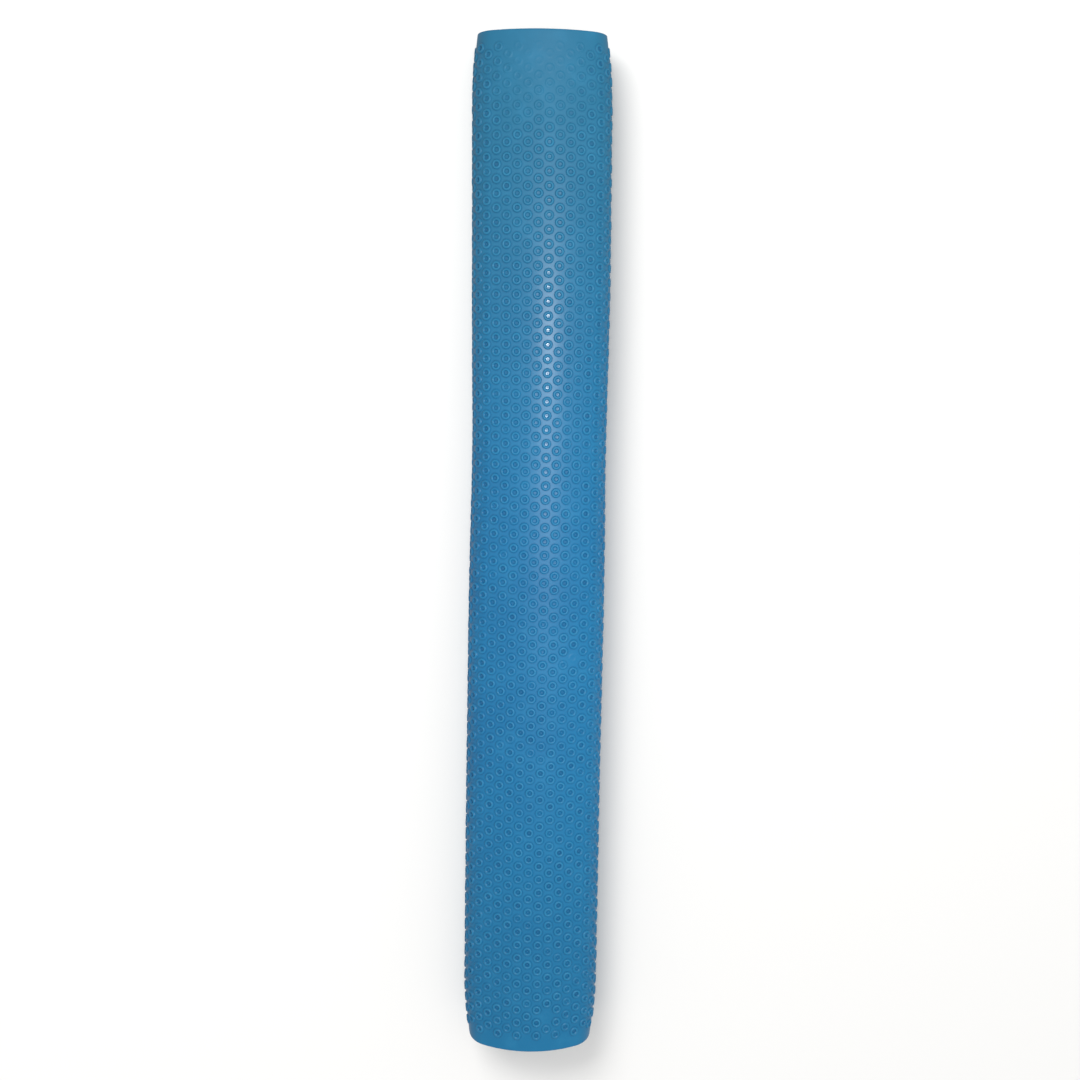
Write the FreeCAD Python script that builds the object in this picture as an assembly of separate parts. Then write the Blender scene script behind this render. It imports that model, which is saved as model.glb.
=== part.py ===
"""Rubber handle grip: a soft oval sleeve, open at both ends, that rolls onto a bat or tool handle.

Frame: the origin is on the table, under the middle of the sleeve. +Y runs along the sleeve
towards the butt mouth, -Y towards the shoulder mouth, +X across it, +Z up. The relaxed sleeve
lies on one of its two broad sides. All sizes are in millimetres.

The wall is two rubber plies cured together. The inner ply is smooth and runs from mouth to
mouth. The textured ply is moulded round it, and a plain cuff finishes each mouth. Every
section is the same four-arc oval, moved in or out by the plies' thicknesses, so the layers
lie on each other with no gap. Underneath, a narrow strip is cut flat, so the sleeve stands
steady. It stands in for the soft wall, which settles on the table.
"""
import FreeCAD, Part
import math
import os

# The sleeve
GRIP_LENGTH = 290.0  # mouth to mouth
OVAL_WIDTH = 38.4  # across the textured ply's base surface, between the nubs
OVAL_HEIGHT = 19.0  # the same surface, up and down
EDGE_RADIUS = 7.2  # the same surface, round each narrow side

# The wall
INNER_PLY_THICKNESS = 0.6
TEXTURED_PLY_THICKNESS = 0.6  # up to its base surface
NUB_HEIGHT = 0.4  # how far the ring nubs stand off the base surface
FOOT_CUT = 0.2  # how much of the lowest nubs is cut off, for a flat strip to stand on

# The mouths
CUFF_WIDTH = 2.4  # plain band along each mouth
CUFF_EASING = 0.2  # rounding of the cuff's outer edge at the mouth

# Places that follow from the sizes
BUTT_MOUTH_Y = GRIP_LENGTH / 2
SHOULDER_MOUTH_Y = -GRIP_LENGTH / 2
AXIS_Z = NUB_HEIGHT - FOOT_CUT + OVAL_HEIGHT / 2
INNER_PLY_OUTSIDE = -TEXTURED_PLY_THICKNESS
BORE_SURFACE = INNER_PLY_OUTSIDE - INNER_PLY_THICKNESS


def oval_wire(offset, y):
    """Closed four-arc oval across the sleeve at y, offset outwards from the base surface.

    A narrow-side arc of radius r and a broad arc of radius R meet where both have the same
    normal, on the line through their centres.
    """
    half_width = OVAL_WIDTH / 2 + offset
    half_height = OVAL_HEIGHT / 2 + offset
    r = EDGE_RADIUS + offset
    side_x = half_width - r
    R = (side_x**2 + half_height**2 - r**2) / (2 * (half_height - r))
    drop = R - half_height
    meet_x = side_x + r * side_x / (R - r)
    meet_z = r * drop / (R - r)

    def point(x, z):
        return FreeCAD.Vector(x, y, AXIS_Z + z)

    arcs = [
        Part.Arc(point(-meet_x, meet_z), point(0, half_height), point(meet_x, meet_z)),
        Part.Arc(point(meet_x, meet_z), point(half_width, 0), point(meet_x, -meet_z)),
        Part.Arc(point(meet_x, -meet_z), point(0, -half_height), point(-meet_x, -meet_z)),
        Part.Arc(point(-meet_x, -meet_z), point(-half_width, 0), point(-meet_x, meet_z)),
    ]
    return Part.Wire([arc.toShape() for arc in arcs])


def oval_tube(outside, inside, start_y, end_y):
    """Tube between two offsets of the oval, from start_y to end_y."""
    length = FreeCAD.Vector(0, end_y - start_y, 0)
    core = Part.Face(oval_wire(inside, start_y)).extrude(length)
    return Part.Face(oval_wire(outside, start_y)).extrude(length).cut(core)


def rim_edges(tube, offset, y):
    """Edges of the tube that lie on the oval with this offset at the mouth plane y."""
    rim = oval_wire(offset, y)
    on_rim = []
    for edge in tube.Edges:
        middle = edge.valueAt((edge.FirstParameter + edge.LastParameter) / 2)
        if rim.distToShape(Part.Vertex(middle))[0] < CUFF_EASING / 100:
            on_rim.append(edge)
    return on_rim


def make_inner_ply():
    """Smooth liner from mouth to mouth; its inside is the bore."""
    return oval_tube(INNER_PLY_OUTSIDE, BORE_SURFACE, SHOULDER_MOUTH_Y, BUTT_MOUTH_Y)


def make_textured_ply():
    """Outer sheet between the cuffs, as the envelope out to the tips of its nubs.

    Underneath, where the sleeve stands on the table, the envelope is cut flat.
    """
    start_y = SHOULDER_MOUTH_Y + CUFF_WIDTH
    end_y = BUTT_MOUTH_Y - CUFF_WIDTH
    envelope = oval_tube(NUB_HEIGHT, INNER_PLY_OUTSIDE, start_y, end_y)
    corner = FreeCAD.Vector(-OVAL_WIDTH / 2, start_y, -NUB_HEIGHT)
    below_table = Part.makeBox(OVAL_WIDTH, end_y - start_y, NUB_HEIGHT, corner)
    return envelope.cut(below_table)


def make_cuff(mouth_y):
    """Plain band at a mouth, level with the base surface, its outer edge eased."""
    inward_y = mouth_y - math.copysign(CUFF_WIDTH, mouth_y)
    band = oval_tube(0, INNER_PLY_OUTSIDE, min(mouth_y, inward_y), max(mouth_y, inward_y))
    return band.makeFillet(CUFF_EASING, rim_edges(band, 0, mouth_y))


os.makedirs("parts", exist_ok=True)
make_inner_ply().exportStep("parts/inner_ply.step")
make_textured_ply().exportStep("parts/textured_ply.step")
make_cuff(BUTT_MOUTH_Y).exportStep("parts/butt_end_cuff.step")
make_cuff(SHOULDER_MOUTH_Y).exportStep("parts/shoulder_end_cuff.step")
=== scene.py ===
# %% [markdown]
# # A rubber handle grip lying on a table
# The object is a soft rubber sleeve, open at both ends and covered in small ring-shaped nubs.
# It is rolled over the handle of a bat or a tool. Off its handle it doesn't stay round: it
# lies on one broad side, and its section is a flat oval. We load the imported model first,
# because its overall sizes are measured below, not typed in again.

# %% Load the frame
import math

import bpy
import numpy as np
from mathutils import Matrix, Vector


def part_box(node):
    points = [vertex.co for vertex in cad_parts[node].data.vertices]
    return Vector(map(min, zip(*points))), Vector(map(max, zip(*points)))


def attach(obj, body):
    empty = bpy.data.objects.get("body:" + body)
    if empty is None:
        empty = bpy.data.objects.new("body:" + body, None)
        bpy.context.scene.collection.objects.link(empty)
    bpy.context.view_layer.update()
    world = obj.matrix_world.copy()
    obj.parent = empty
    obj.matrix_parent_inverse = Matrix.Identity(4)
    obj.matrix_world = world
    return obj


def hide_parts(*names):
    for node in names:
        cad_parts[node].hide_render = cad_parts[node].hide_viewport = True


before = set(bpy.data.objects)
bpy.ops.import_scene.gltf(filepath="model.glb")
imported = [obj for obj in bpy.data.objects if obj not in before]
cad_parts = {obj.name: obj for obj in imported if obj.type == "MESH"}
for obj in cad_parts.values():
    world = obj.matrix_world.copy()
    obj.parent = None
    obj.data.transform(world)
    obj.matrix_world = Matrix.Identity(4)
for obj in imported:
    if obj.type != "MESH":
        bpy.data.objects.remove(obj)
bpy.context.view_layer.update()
MM = 0.001
print("nodes:", sorted(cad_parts))

# %% [markdown]
# ## The camera
# The sleeve is seen from above, from a little over 400 mm away, with the camera tipped so
# that it looks towards the shoulder mouth. A short distance matters: it makes the near half
# of the sleeve larger than the far half. A small roll turns the sleeve in the view.

# %% The camera
CAMERA_DISTANCE = 420.9 * MM
CAMERA_TILT = math.radians(6.4)
CAMERA_ROLL = math.radians(0.76)
CAMERA_LENS = 50
AIM = (0.55 * MM, 5.65 * MM, 20 * MM)

camera_data = bpy.data.cameras.new("camera")
camera_data.lens = CAMERA_LENS
camera = bpy.data.objects.new("camera", camera_data)
camera.location = (
    AIM[0],
    AIM[1] + CAMERA_DISTANCE * math.sin(CAMERA_TILT),
    AIM[2] + CAMERA_DISTANCE * math.cos(CAMERA_TILT),
)
camera.rotation_euler = (-CAMERA_TILT, 0, CAMERA_ROLL)
camera.rotation_mode = "XYZ"
bpy.context.scene.collection.objects.link(camera)
bpy.context.scene.camera = camera
print("camera at, mm:", [round(c / MM) for c in camera.location])

# %% [markdown]
# ## The section
# A flattened tube could be modelled by squashing a circle, but then its wall would change
# thickness. A four-arc oval doesn't have that fault: two broad arcs and two narrow ones,
# which meet where their normals agree, can be offset in or out and stay exact arcs. So one
# function of the distance round the girth gives every surface of the wall: the bore, the
# plies, and the tips of the nubs.

# %% The four-arc oval
cuff_low, cuff_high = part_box("butt_end_cuff")
HALF_WIDTH = (cuff_high.x - cuff_low.x) / 2
HALF_HEIGHT = (cuff_high.z - cuff_low.z) / 2
AXIS_Z = (cuff_high.z + cuff_low.z) / 2
MOUTH_Y = cuff_high.y
CUFF_Y = cuff_low.y
EDGE_RADIUS = 7.2 * MM
PLY = 0.6 * MM

SIDE_X = HALF_WIDTH - EDGE_RADIUS
BROAD_RADIUS = (SIDE_X**2 + HALF_HEIGHT**2 - EDGE_RADIUS**2) / (2 * (HALF_HEIGHT - EDGE_RADIUS))
MEET_ANGLE = math.atan2(SIDE_X, BROAD_RADIUS - HALF_HEIGHT)
BROAD_LENGTH = BROAD_RADIUS * MEET_ANGLE
QUARTER = BROAD_LENGTH + EDGE_RADIUS * (math.pi / 2 - MEET_ANGLE)
GIRTH = 4 * QUARTER


def section(s, h):
    """x and z of a point s round the girth from the crown towards +X, h above the base surface.

    Within a quarter, the normal's angle from straight up is s / broad radius, and past the
    meeting point it grows by 1 / edge radius. The other quarters are its mirror images.
    """
    s = (s + GIRTH / 2) % GIRTH - GIRTH / 2
    along = np.abs(s)
    under = np.where(along > QUARTER, -1.0, 1.0)
    along = np.where(under < 0, GIRTH / 2 - along, along)
    on_edge = along > BROAD_LENGTH
    angle = np.where(on_edge, MEET_ANGLE + (along - BROAD_LENGTH) / EDGE_RADIUS, along / BROAD_RADIUS)
    radius = np.where(on_edge, EDGE_RADIUS, BROAD_RADIUS) + h
    centre_x = np.where(on_edge, SIDE_X, 0.0)
    centre_z = np.where(on_edge, 0.0, HALF_HEIGHT - BROAD_RADIUS)
    x = np.sign(s) * (centre_x + radius * np.sin(angle))
    z = AXIS_Z + under * (centre_z + radius * np.cos(angle))
    return x, z


print("girth of the base surface, mm:", round(GIRTH / MM, 2))

# %% [markdown]
# ## How the soft sleeve lies
# No soft sleeve lies dead straight. This one bows sideways by half a millimetre, it has a
# slight waist where it was last gripped, its mouths draw in a little, and near the shoulder
# mouth its top has crept forward over its bottom, so that the mouth leans. Underneath, its
# soft wall settles on the table; here the lowest nubs are simply cut off level with it. All
# pieces go through this one function, and so they stay in contact with each other.

# %% The lie of the sleeve
WAIST = 0.023
WAIST_Y = 31 * MM
WAIST_REACH = 27 * MM
BOW_EVEN = 0.45 * MM
BOW_SKEW = 0.25 * MM
DRAW_IN = 0.065
DRAW_IN_REACH = 20 * MM
CREEP = 0.25
CREEP_LENGTH = 25 * MM
CROWN_Z = AXIS_Z + HALF_HEIGHT


def lie(s, y, h):
    """Points (n, 3) of the sleeve on the table, from girth s, length y and height h.

    The oval is narrowed by a bell curve round the waist and by a parabola at each mouth,
    moved across by a half sine plus a full sine, and near the shoulder mouth sheared along
    y in proportion to the depth under the crown. Nothing goes below the table at z = 0, so
    the lowest nubs end flat there.
    """
    s, y, h = np.broadcast_arrays(s, y, h)
    x, z = section(s, h)
    x = x * (1 - WAIST * np.exp(-(((y - WAIST_Y) / WAIST_REACH) ** 2)))
    x = x * (1 - DRAW_IN * np.clip(1 - (MOUTH_Y - np.abs(y)) / DRAW_IN_REACH, 0, 1) ** 2)
    turn = np.pi * y / (2 * MOUTH_Y)
    x = x + BOW_EVEN * np.cos(turn) + BOW_SKEW * np.sin(2 * turn)
    reach = np.clip((CREEP_LENGTH - MOUTH_Y - y) / CREEP_LENGTH, 0, None)
    reach = np.where(reach < 1, reach**2 * (3 - 2 * reach), 1)
    y = y + CREEP * reach * np.maximum(CROWN_Z - z, 0)
    return np.stack([x, y, np.maximum(z, 0)], axis=-1).reshape(-1, 3)


# %% [markdown]
# ## From arrays to a mesh
# All surfaces here are worked out as whole numpy arrays. This helper takes the points and
# any number of face tables, where each table holds faces of one size, and fills the mesh
# in one go.

# %% The mesh helper
SHARP_TURN = math.radians(40)


def make_piece(name, points, face_tables, sharp=None, marks=None):
    """Mesh object from points (n, 3) and face tables (m, k).

    sharp(a, b) says which edges, given by their ends, are hard. Without it, edges that
    turn by more than SHARP_TURN are. marks holds named numbers, one for each point.
    """
    mesh = bpy.data.meshes.new(name)
    corners = np.concatenate([table.ravel() for table in face_tables]).astype(np.int32)
    sizes = np.concatenate([np.full(len(table), table.shape[1]) for table in face_tables])
    starts = np.concatenate([[0], np.cumsum(sizes)[:-1]]).astype(np.int32)
    mesh.vertices.add(len(points))
    mesh.vertices.foreach_set("co", points.astype(np.float32).ravel())
    mesh.loops.add(len(corners))
    mesh.loops.foreach_set("vertex_index", corners)
    mesh.polygons.add(len(sizes))
    mesh.polygons.foreach_set("loop_start", starts)
    mesh.update(calc_edges=True)
    mesh.validate()
    if sharp is None:
        mesh.set_sharp_from_angle(angle=SHARP_TURN)
    else:
        ends = np.empty(len(mesh.edges) * 2, np.int32)
        mesh.edges.foreach_get("vertices", ends)
        hard = mesh.attributes.new("sharp_edge", "BOOLEAN", "EDGE")
        hard.data.foreach_set("value", sharp(ends[0::2], ends[1::2]))
    for mark, values in (marks or {}).items():
        stored = mesh.attributes.new(mark, "FLOAT", "POINT")
        stored.data.foreach_set("value", values.astype(np.float32))
    piece = bpy.data.objects.new(name, mesh)
    bpy.context.scene.collection.objects.link(piece)
    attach(piece, "root")
    triangles = int((sizes - 2).sum())
    print(f"{name}: {len(points)} points, {triangles} triangles")
    return piece


# %% [markdown]
# ## The nub lattice
# The nubs stand in columns along the sleeve, and every second column is shifted by half a
# pitch, so each nub has six neighbours. The part of the surface that is nearer to one nub
# than to any other is then a hexagon, and hexagons tile the sheet with no gap. That gives
# a clean way to mesh thousands of nubs: one hexagonal cell each, with rings of points
# inside it, and shared points on its border.

# %% Columns, rows and the hexagonal cell
COLUMNS = 32
COLUMN_SPACING = GIRTH / COLUMNS
LATTICE_TURN = -0.9 * MM
ROWS = 72
PITCH = 3.925 * MM
FIRST_NUB = 4.5 * MM

half_row = PITCH / 2
cell_flat = (COLUMN_SPACING**2 / 2 - PITCH**2 / 8) / COLUMN_SPACING
cell_point = (COLUMN_SPACING**2 / 2 + PITCH**2 / 8) / COLUMN_SPACING
quarter_s = np.array([cell_point, COLUMN_SPACING / 2, cell_flat, 0])
quarter_y = np.array([0, PITCH / 4, half_row, half_row])
CELL_S = np.concatenate([quarter_s, -quarter_s[2::-1], -quarter_s[1:], quarter_s[2:0:-1]])
CELL_Y = np.concatenate([quarter_y, quarter_y[2::-1], -quarter_y[1:], -quarter_y[2:0:-1]])
SIDES = len(CELL_S)


def column_s(column):
    """Girth of a column's centre line; column 0 is the one nearest the crown."""
    return LATTICE_TURN + column * COLUMN_SPACING


def column_top(column):
    """Length y of the butt-side edge of a column's first cell."""
    return MOUTH_Y - FIRST_NUB + half_row - (column % 2) * half_row


def nub_centres(columns):
    """Girth and length of every nub in these columns: equal rows, odd columns half a pitch on."""
    columns = np.array(columns)
    s = np.repeat(column_s(columns), ROWS)
    y = column_top(columns)[:, None] - (np.arange(ROWS) + 0.5) * PITCH
    return s, y.ravel()


print("pitch along and across, mm:", round(PITCH / MM, 3), round(COLUMN_SPACING / MM, 3))
print("cell corners:", SIDES, "nubs in all:", len(nub_centres(range(COLUMNS))[0]))

# %% [markdown]
# ## One nub
# Each nub is a low round button with a crater in its middle. In section it goes from a
# shallow bowl up to a rounded crest, then falls ever more steeply to the sheet. Four rings
# of twelve points round one middle point are enough: the nub is under three millimetres
# across, and smooth shading does the rest. The bowl's edge and the nub's foot are marked as
# sharp edges, because the mould leaves them crisp.

# %% The nub's profile
NUB_RADIUS = 1.42 * MM
NUB_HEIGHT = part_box("textured_ply")[1].z - CROWN_Z
RING_RADII = np.array([0.35, 0.56, 0.84, 1.0]) * NUB_RADIUS
RING_HEIGHTS = np.array([-0.20, 1.0, 0.88, 0.0]) * NUB_HEIGHT
BOWL_HEIGHT = RING_HEIGHTS[0] - 0.05 * NUB_HEIGHT
CRATER_RING = 0
RINGS = len(RING_RADII)
FOOT_RING = RINGS - 1
ring_angles = 2 * np.pi * np.arange(SIDES) / SIDES
print("nub across and high, mm:", round(2 * NUB_RADIUS / MM, 2), round(NUB_HEIGHT / MM, 2))

# %% [markdown]
# ## The sheet of nubs
# The textured ply is a sheet with an outside and an inside. The outside is the cells, plus
# narrow strips that fill the zigzag between the last cells and the straight edge at each
# cuff. The inside is the same flat pattern again, one ply deeper, and short walls join the
# two along every border, so the sheet is a closed solid. It is made as three panels, only
# to keep each mesh to a handy size. The panels meet along cell borders, on the broad sides
# and underneath, where the surface is nearly flat.

# %% Strips between the last cells and the cuffs
def zigzag(first, last):
    """Points (n, 2) along the butt-side edge of the first cells, from column first to last."""
    line = []
    for column in range(first, last + 1):
        middle, top = column_s(column), column_top(column)
        between = (top + column_top(column + 1)) / 2
        line += [(middle - cell_flat, top), (middle, top), (middle + cell_flat, top)]
        line.append((middle + COLUMN_SPACING / 2, between))
    line.append((column_s(last + 1) - cell_flat, column_top(last + 1)))
    return np.array(line)


def strip(low, high):
    """Quads (m, 4, 2) between two lines of points."""
    return np.stack([low[:-1], low[1:], high[1:], high[:-1]], axis=1)


def end_strips(first, last):
    """The strip at the butt cuff and the one at the shoulder cuff, as (s, y) corners."""
    top = zigzag(first, last)
    bottom = top - (0, ROWS * PITCH)
    return np.concatenate([
        strip(top, np.stack([top[:, 0], np.full(len(top), CUFF_Y)], axis=1)),
        strip(np.stack([top[:, 0], np.full(len(top), -CUFF_Y)], axis=1), bottom),
    ])


# %% [markdown]
# ## Small differences between nubs
# A mould doesn't fill every nub alike. Each one gets its own height, about a tenth either
# way. Two small patches filled badly and are nearly flat, and the rows near the butt mouth
# fade out on the crown, where the mould was worn. The craters also get painted shade, in a
# random share for each nub, and less of it on the crown of the butt half.

# %% The height of each nub
NUB_SPREAD = 0.09
LOWEST, HIGHEST = 0.8, 1.12
SHALLOW_LOSS = 0.94
SHALLOW_WIDTH = 13 * MM
SHALLOW_FROM = 30 * MM
SHALLOW_RUN = 22 * MM
FLAT_NUBS = [(10.4 * MM, -28.7 * MM, 3.2 * MM), (5.1 * MM, -133.6 * MM, 2.4 * MM)]
FLAT_LEFT = 0.12


def nub_relief(s, y, seed):
    """Height factor of each nub, from its girth, its length and a seed.

    A normal spread about 1, times a loss that is largest at the crown and grows towards the
    butt mouth, times the squared distance from each flat patch over that patch's reach.
    """
    spread = np.random.default_rng(seed).normal(1, NUB_SPREAD, len(s)).clip(LOWEST, HIGHEST)
    across = np.exp(-((s / SHALLOW_WIDTH) ** 4))
    near_mouth = np.clip((y - (MOUTH_Y - SHALLOW_FROM)) / SHALLOW_RUN, 0, 1)
    relief = spread * (1 - SHALLOW_LOSS * across * near_mouth)
    for patch_s, patch_y, reach in FLAT_NUBS:
        away = np.hypot(s - patch_s, y - patch_y) / reach
        relief = relief * np.clip(away**2, FLAT_LEFT, 1)
    return relief


# %% The painted shade in each crater
# The craters' painted shade varies at random from nub to nub and is less on the crown.
CRATER_SHADE_LEAST = 0.35
CRATER_SHADE_SEED = 10
CROWN_SHADE_LOSS = 0.7
CROWN_SHADE_WIDTH = 11 * MM
CROWN_SHADE_RUN = 160 * MM


def nub_crater_shade(s, y, seed):
    """Share of painted shade in each crater: an even spread, less a bell curve about the crown."""
    shade_share = np.random.default_rng(seed + CRATER_SHADE_SEED).uniform(CRATER_SHADE_LEAST, 1, len(s))
    crown_loss = np.exp(-((s / CROWN_SHADE_WIDTH) ** 2)) * np.clip(0.5 + y / CROWN_SHADE_RUN, 0, 1)
    return shade_share * (1 - CROWN_SHADE_LOSS * crown_loss)


# %% Shared points and borders
WELD = 0.001 * MM


def weld(corners):
    """The different points (n, 2) among the corners, and each corner's place among them."""
    grid = np.round(corners / WELD).astype(int)
    _, kept, places = np.unique(grid, axis=0, return_index=True, return_inverse=True)
    return corners[kept], places.ravel()


def border_edges(tables):
    """Starts and ends of the edges that only one face of the tables has.

    Two faces that share an edge run along it in opposite directions, so an edge is on the
    border if its reverse is nowhere in the tables.
    """
    starts = np.concatenate([table.ravel() for table in tables])
    ends = np.concatenate([np.roll(table, -1, 1).ravel() for table in tables])
    span = starts.max() + 1
    alone = ~np.isin(starts * span + ends, ends * span + starts)
    return starts[alone], ends[alone]


# %% A panel of the textured ply
def nub_sheet(name, first, last, seed):
    """Closed panel of the textured ply, from column first to column last.

    A nub's points are circles about its centre, at the profile's radii and at the profile's
    heights times the nub's relief. They are stored in this order: rings, middles of the
    bowls, sheet outside, sheet inside. kind numbers the points of each sort of sharp edge.
    """
    s, y = nub_centres(range(first, last + 1))
    count = len(s)
    relief = nub_relief(s, y, seed)
    # The painted shade in the craters and round the feet is scaled by the nub's relief, capped at 1.
    shade_share = np.minimum(relief, 1)
    painted_shade = shade_share * nub_crater_shade(s, y, seed)
    ring_s = s[:, None, None] + RING_RADII[:, None] * np.cos(ring_angles)
    ring_y = y[:, None, None] + RING_RADII[:, None] * np.sin(ring_angles)
    ring_h = relief[:, None, None] * RING_HEIGHTS[:, None] + np.zeros_like(ring_angles)

    cells = np.stack([s[:, None] + CELL_S, y[:, None] + CELL_Y], axis=-1)
    corners = [cells.reshape(-1, 2), end_strips(first, last).reshape(-1, 2)]
    flat, places = weld(np.concatenate(corners))
    deep = len(flat)
    ring_count = count * RINGS * SIDES
    places = places + ring_count + count
    cell_ids = places[: count * SIDES].reshape(count, SIDES)
    strip_ids = places[count * SIDES :].reshape(-1, 4)
    ring_ids = np.arange(ring_count).reshape(count, RINGS, SIDES)
    floor_ids = ring_ids[:, CRATER_RING]
    foot_ids = ring_ids[:, FOOT_RING]
    bowl_ids = np.broadcast_to(ring_count + np.arange(count)[:, None], floor_ids.shape)

    rings = np.concatenate([ring_ids, cell_ids[:, None]], axis=1)
    inner, outer = rings[:, :-1], rings[:, 1:]
    bands = np.stack([inner, outer, np.roll(outer, -1, 2), np.roll(inner, -1, 2)], axis=-1)
    edge_from, edge_to = border_edges([cell_ids, strip_ids])
    tables = [
        np.stack([floor_ids, np.roll(floor_ids, -1, 1), bowl_ids], axis=-1).reshape(-1, 3),
        bands.reshape(-1, 4),
        strip_ids,
        cell_ids[:, ::-1] + deep,
        strip_ids[:, ::-1] + deep,
        np.stack([edge_to, edge_from, edge_from + deep, edge_to + deep], axis=1),
    ]
    points = np.concatenate([
        lie(ring_s.ravel(), ring_y.ravel(), ring_h.ravel()),
        lie(s, y, relief * BOWL_HEIGHT),
        lie(flat[:, 0], flat[:, 1], 0.0),
        lie(flat[:, 0], flat[:, 1], -PLY),
    ])

    kind = np.zeros(len(points), int)
    kind[floor_ids] = 1
    kind[foot_ids] = 2
    kind[edge_from] = 3
    kind[edge_from + deep] = 3
    # dish holds each crater's painted shade, and crease the painted shade round each nub's foot.
    lift, dish, crease = np.zeros((3, len(points)))
    lift[:ring_count] = ring_h.ravel() / NUB_HEIGHT
    dish[floor_ids] = painted_shade[:, None]
    dish[bowl_ids] = painted_shade[:, None]
    crease[foot_ids] = shade_share[:, None]
    return make_piece(
        name,
        points,
        tables,
        sharp=lambda p, q: (kind[p] == kind[q]) & (kind[p] > 0),
        marks={"lift": lift, "dish": dish, "crease": crease},
    )


PANEL_COLUMNS = 4
nub_panels = [
    nub_sheet("nub_sheet_crown", -PANEL_COLUMNS, PANEL_COLUMNS, seed=1),
    nub_sheet("nub_sheet_right", PANEL_COLUMNS + 1, COLUMNS // 2, seed=2),
    nub_sheet("nub_sheet_left", COLUMNS // 2 + 1 - COLUMNS, -PANEL_COLUMNS - 1, seed=3),
]

# %% [markdown]
# ## The liner and the cuffs
# These are rings of constant wall, so each is one closed profile of length and height,
# carried once round the girth. The grid closes both ways, like a torus, which leaves no
# open edge. Their mouth ends were trimmed with a blade, so the corners are barely rounded,
# and where a cuff meets the sheet of nubs it has no rounding at all.

# %% A profile carried round the girth
GIRTH_STEPS = 192
LIP = 0.08 * MM
LIP_STEPS = 4
SAME_PLACE = 1e-9


def wall_profile(start_y, end_y, outside, inside, steps, start_lip=LIP, end_lip=LIP):
    """Closed profile (y, h): out along the outside, round one end, back along the inside.

    Each end's two corners are quarter circles with that end's lip as radius. Points that
    coincide with the one before are left out.
    """
    corner = np.linspace(0, np.pi / 2, LIP_STEPS)
    long_way = np.linspace(start_y + start_lip, end_y - end_lip, steps)
    sine, drop = np.sin(corner), 1 - np.cos(corner)
    y = np.concatenate([
        long_way,
        end_y - end_lip * (1 - sine),
        end_y - end_lip * (1 - sine[::-1]),
        long_way[::-1],
        start_y + start_lip * (1 - sine),
        start_y + start_lip * (1 - sine[::-1]),
    ])
    h = np.concatenate([
        np.full(steps, outside),
        outside - end_lip * drop,
        inside + end_lip * drop[::-1],
        np.full(steps, inside),
        inside + start_lip * drop,
        outside - start_lip * drop[::-1],
    ])
    profile = np.stack([y, h], axis=1)
    repeats = np.all(np.isclose(profile, np.roll(profile, 1, 0), atol=SAME_PLACE), axis=1)
    return profile[~repeats]


def carried_ring(name, profile):
    """Closed surface: the profile at every step round the girth, joined by quads both ways."""
    count = len(profile)
    s = np.arange(GIRTH_STEPS) * GIRTH / GIRTH_STEPS
    points = lie(s[:, None], profile[None, :, 0], profile[None, :, 1])
    ids = np.arange(GIRTH_STEPS * count).reshape(GIRTH_STEPS, count)
    ahead = np.roll(ids, -1, 0)
    quads = np.stack([ids, ahead, np.roll(ahead, -1, 1), np.roll(ids, -1, 1)], axis=-1)
    return make_piece(name, points, [quads.reshape(-1, 4)])


LINER_STEPS = 73
CUFF_STEPS = 5
liner = carried_ring("smooth_liner", wall_profile(-MOUTH_Y, MOUTH_Y, -PLY, -2 * PLY, LINER_STEPS))
butt_wall = wall_profile(CUFF_Y, MOUTH_Y, 0, -PLY, CUFF_STEPS, start_lip=0)
shoulder_wall = wall_profile(-MOUTH_Y, -CUFF_Y, 0, -PLY, CUFF_STEPS, end_lip=0)
butt_cuff = carried_ring("butt_cuff", butt_wall)
shoulder_cuff = carried_ring("shoulder_cuff", shoulder_wall)

for panel in nub_panels:
    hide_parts("textured_ply")
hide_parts("inner_ply")
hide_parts("butt_end_cuff")
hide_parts("shoulder_end_cuff")

# %% [markdown]
# ## Writing materials as expressions
# A procedural material is arithmetic on fields such as noise. Wiring that up by hand is
# hard to read, so one small class wraps a node's output and turns +, - and * into Math
# nodes. Everything else, from noise to bump, comes from one method.

# %% Shader helpers
class Field:
    """A number that varies over a surface. Arithmetic on it adds Math nodes."""

    def __init__(self, tree, socket):
        self.tree = tree
        self.socket = socket

    def math(self, operation, first, second=0.0):
        node = self.tree.nodes.new("ShaderNodeMath")
        node.operation = operation
        for slot, value in zip(node.inputs, (first, second)):
            put(self.tree, slot, value)
        return Field(self.tree, node.outputs[0])

    def __add__(self, other):
        return self.math("ADD", self, other)

    def __radd__(self, other):
        return self.math("ADD", other, self)

    def __sub__(self, other):
        return self.math("SUBTRACT", self, other)

    def __rsub__(self, other):
        return self.math("SUBTRACT", other, self)

    def __mul__(self, other):
        return self.math("MULTIPLY", self, other)

    def __rmul__(self, other):
        return self.math("MULTIPLY", other, self)


def put(tree, slot, value):
    """Links a Field or a socket to a node's input, or sets the input to a plain value."""
    if isinstance(value, Field):
        value = value.socket
    if isinstance(value, bpy.types.NodeSocket):
        tree.links.new(value, slot)
    else:
        slot.default_value = value


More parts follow.
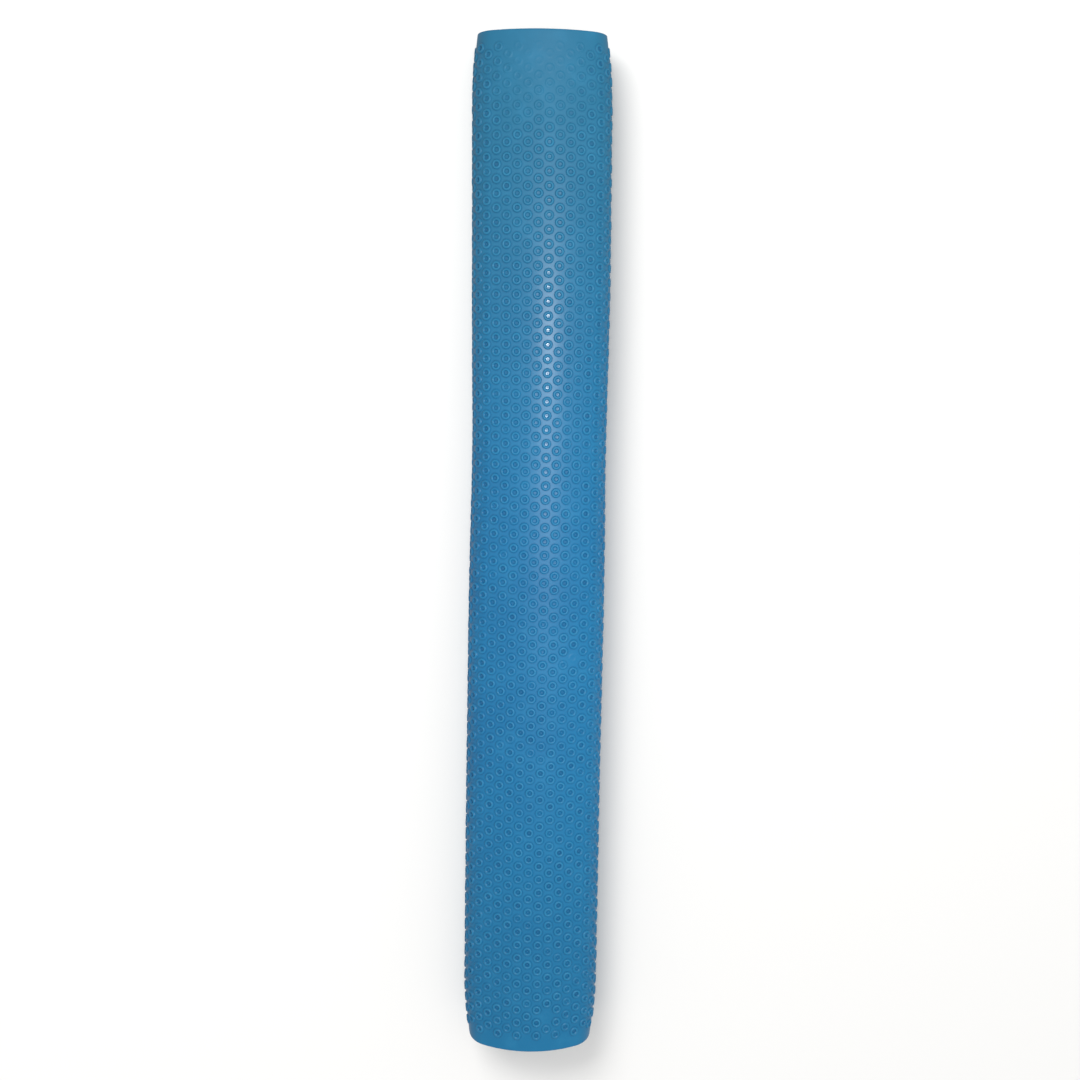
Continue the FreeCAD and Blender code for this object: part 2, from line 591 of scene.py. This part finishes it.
class Finish:
    """A material being written. Its shader is a Principled BSDF."""

    def __init__(self, name):
        self.material = bpy.data.materials.new(name)
        self.material.use_nodes = True
        self.tree = self.material.node_tree
        self.shader = self.tree.nodes["Principled BSDF"]

    def node(self, kind, settings=None, values=None, output=0):
        """Any node: its settings first, then the values or links of its sockets."""
        node = self.tree.nodes.new("ShaderNode" + kind)
        for key, value in (settings or {}).items():
            setattr(node, key, value)
        for key, value in (values or {}).items():
            put(self.tree, node.inputs[key], value)
        return Field(self.tree, node.outputs[output])

    def noise(self, feature, detail=2.0, roughness=0.5):
        """Noise from 0 to 1 whose blobs are about this many metres across."""
        place = self.node("TexCoord", output="Object")
        values = {"Vector": place, "Scale": 1 / feature, "Detail": detail, "Roughness": roughness}
        return self.node("TexNoise", values=values, output="Fac")

    def ramp(self, field, low, high):
        """0 where the field is at low, 1 where it is at high, and a smooth step between."""
        settings = {"interpolation_type": "SMOOTHSTEP", "clamp": True}
        values = {"Value": field, "From Min": low, "From Max": high}
        return self.node("MapRange", settings, values)

    def mix(self, share, first, second):
        """A colour between two colours, by a share from 0 to 1."""
        values = {0: share, 6: first, 7: second}
        return self.node("Mix", {"data_type": "RGBA"}, values, output=2)

    def length(self):
        """Place along the sleeve, in metres towards the butt mouth."""
        place = self.node("TexCoord", output="Object")
        return self.node("SeparateXYZ", values={"Vector": place}, output="Y")

    def mark(self, name):
        """A number stored on the mesh's points."""
        return self.node("Attribute", {"attribute_name": name}, output="Fac")

    def surface(self, **values):
        """Sets or links the shader's own sockets, given as Base_Color for Base Color."""
        for key, value in values.items():
            put(self.tree, self.shader.inputs[key.replace("_", " ")], value)


# %% [markdown]
# ## Moulded blue rubber
# Moulded rubber is an even colour with a soft shine. The pigment is a little uneven over
# centimetres, with random pale blotches. Towards the butt mouth the rubber goes matt and its
# colour turns greyer and less blue, a painted sheen; towards the shoulder mouth it is darker,
# a painted shade. The craters and the feet of the nubs are darkened with painted shade, and
# their crests are lightened with a painted highlight. And the surface has the fine grain of
# the mould.

# %% The blues, the sizes of their patches, and the grain
# The third blue is a painted sheen towards the butt mouth, the fourth a painted shade towards the
# shoulder mouth, the dark blue is painted shade in the craters and round the nub feet, and the pale
# blue serves random blotches and a painted highlight on the crests.
BLUE = (0.005, 0.162, 0.345, 1)
BLUE_DEEP = (0.004, 0.144, 0.320, 1)
BLUE_PAINTED_SHEEN = (0.012, 0.148, 0.258, 1)
BLUE_PAINTED_SHADE = (0.002, 0.136, 0.282, 1)
BLUE_DARK = (0.002, 0.075, 0.190, 1)
BLUE_PALE_AND_HIGHLIGHT = (0.026, 0.235, 0.420, 1)
PIGMENT_PATCH = 26 * MM
RUB_PATCH = 5 * MM
GRAIN = 0.16 * MM
GRAIN_DEPTH = 0.05 * MM
RUBBER_IOR = 1.46


# %% The rubber of the outer plies
def moulded_rubber(name, with_nubs):
    """Semi-gloss blue rubber; where there are nubs, painted shade in the craters and round their feet
    and a painted highlight on their crests.
    """
    finish = Finish(name)
    uneven = finish.noise(PIGMENT_PATCH, detail=3)
    blotch = finish.noise(RUB_PATCH, detail=4)
    grain = finish.noise(GRAIN, detail=2)
    length = finish.length()
    # Painted sheen: the colour turns greyer and less blue towards the butt mouth.
    painted_sheen_share = finish.ramp(length, 0.0, 130 * MM) * 0.85
    # Painted shade: the colour darkens towards the shoulder mouth.
    painted_shade_share = finish.ramp(length, -30 * MM, -140 * MM) * 0.85
    colour = finish.mix(finish.ramp(uneven, 0.35, 0.65), BLUE_DEEP, BLUE)
    colour = finish.mix(painted_sheen_share, colour, BLUE_PAINTED_SHEEN)
    colour = finish.mix(painted_shade_share, colour, BLUE_PAINTED_SHADE)
    # Random pale blotches; the nub crests add a painted highlight below.
    blotch_and_highlight = finish.ramp(blotch, 0.45, 0.8) * 0.2
    shine = 0.31 + finish.ramp(uneven, 0.3, 0.7) * 0.05
    shine = shine + finish.ramp(length, 70 * MM, 125 * MM) * 0.16
    if with_nubs:
        lift = finish.mark("lift")
        dish = finish.mark("dish")
        crease = finish.mark("crease")
        # A painted highlight on the nub crests.
        blotch_and_highlight = blotch_and_highlight + finish.ramp(lift, 0.7, 1.05) * 0.28
        crater = finish.ramp(lift, 0.0, -0.15)
        shine = shine + finish.ramp(lift, 0.2, 1.0) * 0.05 - crater * 0.13
    colour = finish.mix(blotch_and_highlight, colour, BLUE_PALE_AND_HIGHLIGHT)
    if with_nubs:
        # Painted shade in the craters and round the feet of the nubs.
        painted_shade = dish * 0.55 + finish.ramp(crease, 0.3, 1.0) * 0.30
        colour = finish.mix(painted_shade, colour, BLUE_DARK)
    bump = finish.node("Bump", values={"Strength": 0.12, "Distance": GRAIN_DEPTH, "Height": grain})
    finish.surface(Base_Color=colour, Roughness=shine, Normal=bump, IOR=RUBBER_IOR)
    return finish.material


nub_rubber = moulded_rubber("nub_rubber", True)
cuff_rubber = moulded_rubber("cuff_rubber", False)

# %% [markdown]
# ## The liner's rubber
# The inside is dusted with talc so that it slides when it is rolled on. Talc lies in soft
# streaks along the sleeve, kills the shine, and pales the blue.

# %% The rubber of the inner ply
LINER_BLUE = (0.020, 0.140, 0.290, 1)
TALC = (0.42, 0.50, 0.56, 1)
STREAK = 3 * MM
STREAK_SCALE = (1, 0.25, 1)
POWDER = 0.3 * MM


def talced_rubber(name):
    """Matt blue rubber under a streaky film of talc."""
    finish = Finish(name)
    place = finish.node("TexCoord", output="Object")
    along = finish.node("Mapping", values={"Vector": place, "Scale": STREAK_SCALE})
    streak_values = {"Vector": along, "Scale": 1 / STREAK, "Detail": 4.0}
    streaks = finish.node("TexNoise", values=streak_values, output="Fac")
    powder = finish.noise(POWDER, detail=3)
    talc = finish.ramp(streaks, 0.35, 0.75) * 0.45 + finish.ramp(powder, 0.5, 0.8) * 0.15
    bump = finish.node("Bump", values={"Strength": 0.2, "Distance": GRAIN_DEPTH, "Height": powder})
    colour = finish.mix(talc, LINER_BLUE, TALC)
    finish.surface(Base_Color=colour, Roughness=0.62 + talc * 0.3, Normal=bump)
    return finish.material


liner_rubber = talced_rubber("liner_rubber")
for panel in nub_panels:
    panel.data.materials.append(nub_rubber)
for cuff in (butt_cuff, shoulder_cuff):
    cuff.data.materials.append(cuff_rubber)
liner.data.materials.append(liner_rubber)

# %% [markdown]
# ## The table and the light
# The set is a plain pale floor. It is far brighter than the rubber, and one set of lights
# couldn't suit both, so light linking gives each lamp the things that it reaches. The floor
# has a broad soft box behind it and to the left, which throws the soft shadow forward and to
# the right, and a small ceiling lamp, which keeps that shadow pale. The sleeve has a box
# above it, and a small lamp in a larger shade near the camera, which gives the bright streak
# along the crown. Both share a wide panel overhead, which puts a broad sheen on the butt
# half, and the pale surroundings. The rubber neither mirrors the floor nor catches the light
# that it throws back, so the sides stay darker than the crown.

# %% The floor
FLOOR_SIZE = 3.0
FLOOR_COLOUR = (0.75, 0.74, 0.72, 1)
edge = FLOOR_SIZE / 2
floor_corners = [(-edge, -edge, 0), (edge, -edge, 0), (edge, edge, 0), (-edge, edge, 0)]
floor_mesh = bpy.data.meshes.new("floor")
floor_mesh.from_pydata(floor_corners, [], [(0, 1, 2, 3)])
floor = bpy.data.objects.new("floor", floor_mesh)
bpy.context.scene.collection.objects.link(floor)
floor_paint = Finish("floor_paint")
floor_paint.surface(Base_Color=FLOOR_COLOUR, Roughness=0.9)
floor_mesh.materials.append(floor_paint.material)
floor.visible_diffuse = False
floor.visible_glossy = False


# %% The lights
def add_light(name, place, target, size, power, shine=True, only=None):
    """Area light in watts at place, aimed at target, size = (across, along).

    shine says whether it shows in reflections, and only is the objects that it lights.
    """
    data = bpy.data.lights.new(name, "AREA")
    data.shape = "RECTANGLE"
    data.size, data.size_y = size
    data.energy = power
    light = bpy.data.objects.new(name, data)
    light.location = place
    aim = Vector(target) - Vector(place)
    light.rotation_euler = aim.to_track_quat("-Z", "Y").to_euler()
    light.visible_glossy = shine
    bpy.context.scene.collection.objects.link(light)
    if only:
        lit = bpy.data.collections.new(name + "_lights")
        for thing in only:
            lit.objects.link(thing)
        light.light_linking.receiver_collection = lit


pieces = [*nub_panels, liner, butt_cuff, shoulder_cuff]
MIDDLE = (0, 0, 0)
BUTT_HALF = (0, 0.05, 0)
add_light("soft_box", (-0.45, 0.88, 1.00), MIDDLE, (0.8, 0.6), 15.0, shine=False, only=[floor])
add_light("ceiling_lamp", (0.02, -0.05, 1.50), MIDDLE, (0.3, 0.3), 5.8, shine=False, only=[floor])
add_light("top_box", (0.14, 0.07, 0.62), (0, 0.02, 0), (0.35, 0.35), 1.65, shine=False, only=pieces)
add_light("overhead_panel", (0.05, 0.14, 1.00), (0.05, 0.14, 0), (2.2, 0.55), 1.7)
add_light("lamp_by_camera", (0.066, 0.058, 0.52), BUTT_HALF, (0.03, 0.03), 0.55, only=pieces)
add_light("lamp_shade", (0.075, 0.055, 0.53), BUTT_HALF, (0.26, 0.16), 0.22, only=pieces)
print("lights:", len(bpy.data.lights))

# %% The surroundings
SKY_COLOUR = (0.95, 0.97, 1.0, 1)
SKY_STRENGTH = 0.62
world = bpy.data.worlds.new("surroundings")
world.use_nodes = True
background = world.node_tree.nodes["Background"]
background.inputs["Color"].default_value = SKY_COLOUR
background.inputs["Strength"].default_value = SKY_STRENGTH
bpy.context.scene.world = world
bpy.context.scene.view_settings.view_transform = "Standard"
